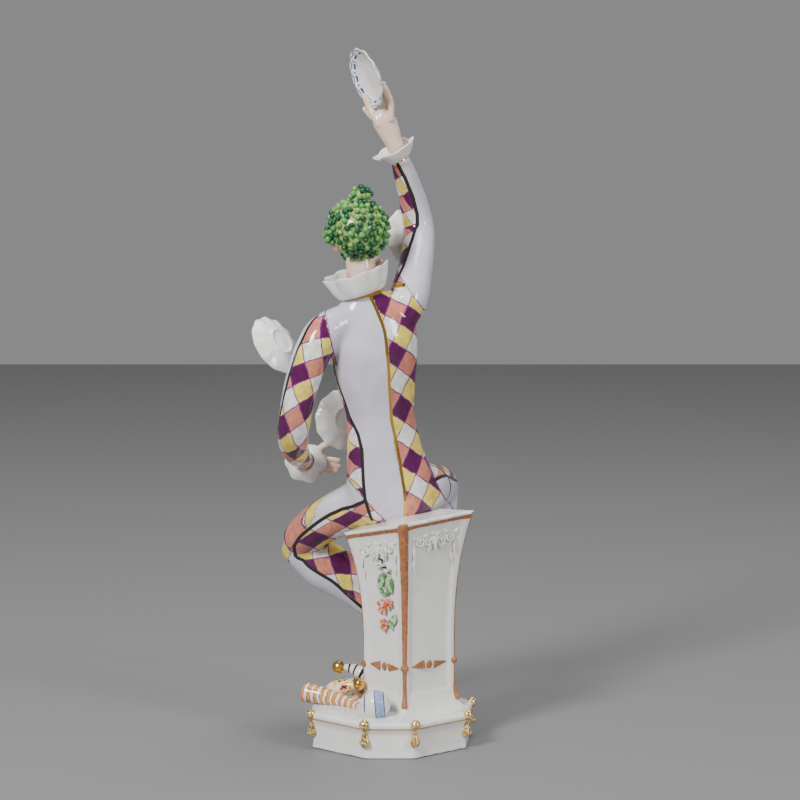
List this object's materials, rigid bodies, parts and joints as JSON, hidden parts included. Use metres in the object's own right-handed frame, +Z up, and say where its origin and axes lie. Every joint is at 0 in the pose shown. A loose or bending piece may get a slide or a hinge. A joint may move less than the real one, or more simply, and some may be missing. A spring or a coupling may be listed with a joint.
{
  "type": "juggler figurine",
  "caption": "Glazed porcelain juggler in harlequin dress, seated on a flared pedestal with a tasselled base, juggling scalloped saucers.",
  "frame": {"origin": "centre of the flat underside of the base", "axes": "+Z up, from the base to the raised saucer; +Y the way the figure faces; +X its right-hand side"},
  "size_m": [0.1295, 0.1288, 0.403],
  "materials": {
    "painted_porcelain": "clear high-gloss glaze over white porcelain, painted in overglaze colours and bright gold"
  },
  "bodies": {
    "root": {"juggler_figurine": "painted_porcelain"}
  },
  "joints": []
}
